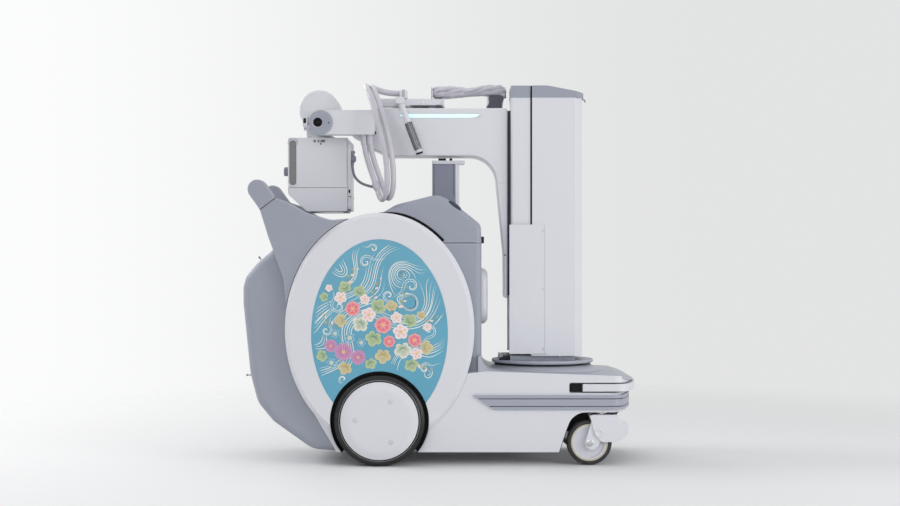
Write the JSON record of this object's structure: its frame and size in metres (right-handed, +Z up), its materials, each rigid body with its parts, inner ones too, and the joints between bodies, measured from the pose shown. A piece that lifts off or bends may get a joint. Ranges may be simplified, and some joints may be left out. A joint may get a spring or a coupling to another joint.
{
  "type": "mobile x-ray machine",
  "caption": "Mobile x-ray machine: wheeled body with oval side panels, turning column, telescopic arm and a tilting tube head with a collimator.",
  "frame": {"origin": "on the floor, under the middle of the bounding box", "axes": "+X to the front, where the column and casters are; +Y to the left; +Z up"},
  "size_m": [1.3214, 0.555, 1.2832],
  "materials": {
    "white_paint": "satin white panels",
    "grey_moulding": "satin mid-grey mouldings",
    "deck_grey": "satin light grey",
    "post_grey": "dark blue-grey paint",
    "cap_grey": "satin grey caps",
    "inset_blue": "blue panel with a cream and floral pattern",
    "light_cyan": "lit strip",
    "black_plastic": "black",
    "dark_liner": "dark liner",
    "tyre_rubber": "dark grey tyre",
    "caster_rubber": "dark grey tread",
    "caster_hub": "light hub with a cream ring",
    "steel": "ground steel",
    "grip_metal": "dark satin metal grip",
    "screen_glass": "dark display glass",
    "sleeve_fabric": "woven pale grey sleeve",
    "hose_skin": "smooth pale grey cable sheath",
    "cord_skin": "grey cable sheath"
  },
  "bodies": {
    "base": {"drive_axles": "steel", "lower_body": "white_paint", "deck": "deck_grey", "base_liners": "black_plastic", "bumper_bar": "white_paint", "bumper_rail": "grey_moulding", "caster_mounts": "steel", "body_core": "grey_moulding", "hood": "grey_moulding", "front_pod": "white_paint", "rear_cover": "grey_moulding", "oval_panels": "white_paint", "inset_panels": "inset_blue", "handle_necks": "grey_moulding", "grips": "grey_moulding", "console_screen": "screen_glass", "park_post": "post_grey", "park_post_trim": "white_paint", "park_pads": "black_plastic", "turntable_ring": "deck_grey"},
    "drive_wheel_left": {"drive_tyre_left": "tyre_rubber", "drive_disc_left": "white_paint"},
    "drive_wheel_right": {"drive_tyre_right": "tyre_rubber", "drive_disc_right": "white_paint"},
    "caster_left": {"caster_fork_left": "white_paint", "caster_guard_left": "white_paint"},
    "caster_right": {"caster_fork_right": "white_paint", "caster_guard_right": "white_paint"},
    "caster_wheel_left": {"caster_tyre_left": "caster_rubber", "caster_hub_left": "caster_hub"},
    "caster_wheel_right": {"caster_tyre_right": "caster_rubber", "caster_hub_right": "caster_hub"},
    "column": {"turntable_disc": "grey_moulding", "column_foot": "black_plastic", "column": "white_paint", "column_cap": "cap_grey", "column_shroud": "white_paint", "mast_guides": "steel"},
    "mast": {"mast": "white_paint", "mast_cap": "cap_grey", "arm_carriage": "dark_liner", "arm_housing": "white_paint", "light_strips": "light_cyan", "top_rail": "white_paint", "arm_brackets": "grey_moulding", "cable_sleeve": "sleeve_fabric", "guide_rod": "white_paint", "guide_grip": "grip_metal"},
    "inner_arm": {"inner_arm": "white_paint", "near_hose": "hose_skin", "far_hose": "hose_skin", "lamp_cord": "cord_skin"},
    "wrist": {"wrist": "white_paint", "hub_cap": "grey_moulding"},
    "tube_head": {"tube_housing": "white_paint"},
    "collimator": {"collimator": "white_paint", "collimator_base": "white_paint", "collimator_panel": "white_paint", "collimator_trim": "grey_moulding"}
  },
  "joints": [
    {"name": "drive_wheel_left_spin", "type": "hinge", "parent": "base", "child": "drive_wheel_left", "pos_m": [-0.204, 0.245, 0.15], "axis": [0, 1, 0], "continuous": true},
    {"name": "caster_left_swivel", "type": "hinge", "parent": "base", "child": "caster_left", "pos_m": [0.53, 0.215, 0.16], "axis": [0, 0, 1], "continuous": true},
    {"name": "caster_left_spin", "type": "hinge", "parent": "caster_left", "child": "caster_wheel_left", "pos_m": [0.4893, 0.215, 0.075], "axis": [0, 1, 0], "continuous": true},
    {"name": "drive_wheel_right_spin", "type": "hinge", "parent": "base", "child": "drive_wheel_right", "pos_m": [-0.204, -0.245, 0.15], "axis": [0, 1, 0], "continuous": true},
    {"name": "caster_right_swivel", "type": "hinge", "parent": "base", "child": "caster_right", "pos_m": [0.53, -0.215, 0.16], "axis": [0, 0, 1], "continuous": true},
    {"name": "caster_right_spin", "type": "hinge", "parent": "caster_right", "child": "caster_wheel_right", "pos_m": [0.4893, -0.215, 0.075], "axis": [0, 1, 0], "continuous": true},
    {"name": "column_turn", "type": "hinge", "parent": "base", "child": "column", "pos_m": [0.347, 0, 0.333], "axis": [0, 0, 1], "range_deg": [-180, 180]},
    {"name": "mast_lift", "type": "slide", "parent": "column", "child": "mast", "axis": [0, 0, 1], "range_m": [0, 0.6]},
    {"name": "arm_telescope", "type": "slide", "parent": "mast", "child": "inner_arm", "axis": [-1, 0, 0], "range_m": [0, 0.33], "deforming": ["near_hose", "far_hose", "lamp_cord"]},
    {"name": "head_roll", "type": "hinge", "parent": "inner_arm", "child": "wrist", "pos_m": [-0.27, 0, 1.1394], "axis": [1, 0, 0], "range_deg": [-180, 180]},
    {"name": "head_tilt", "type": "hinge", "parent": "wrist", "child": "tube_head", "pos_m": [-0.4046, -0.13, 1.1394], "axis": [0, 1, 0], "range_deg": [-20, 90]},
    {"name": "collimator_turn", "type": "hinge", "parent": "tube_head", "child": "collimator", "pos_m": [-0.4211, 0, 1.087], "axis": [0, 0, 1], "range_deg": [-90, 90]}
  ]
}
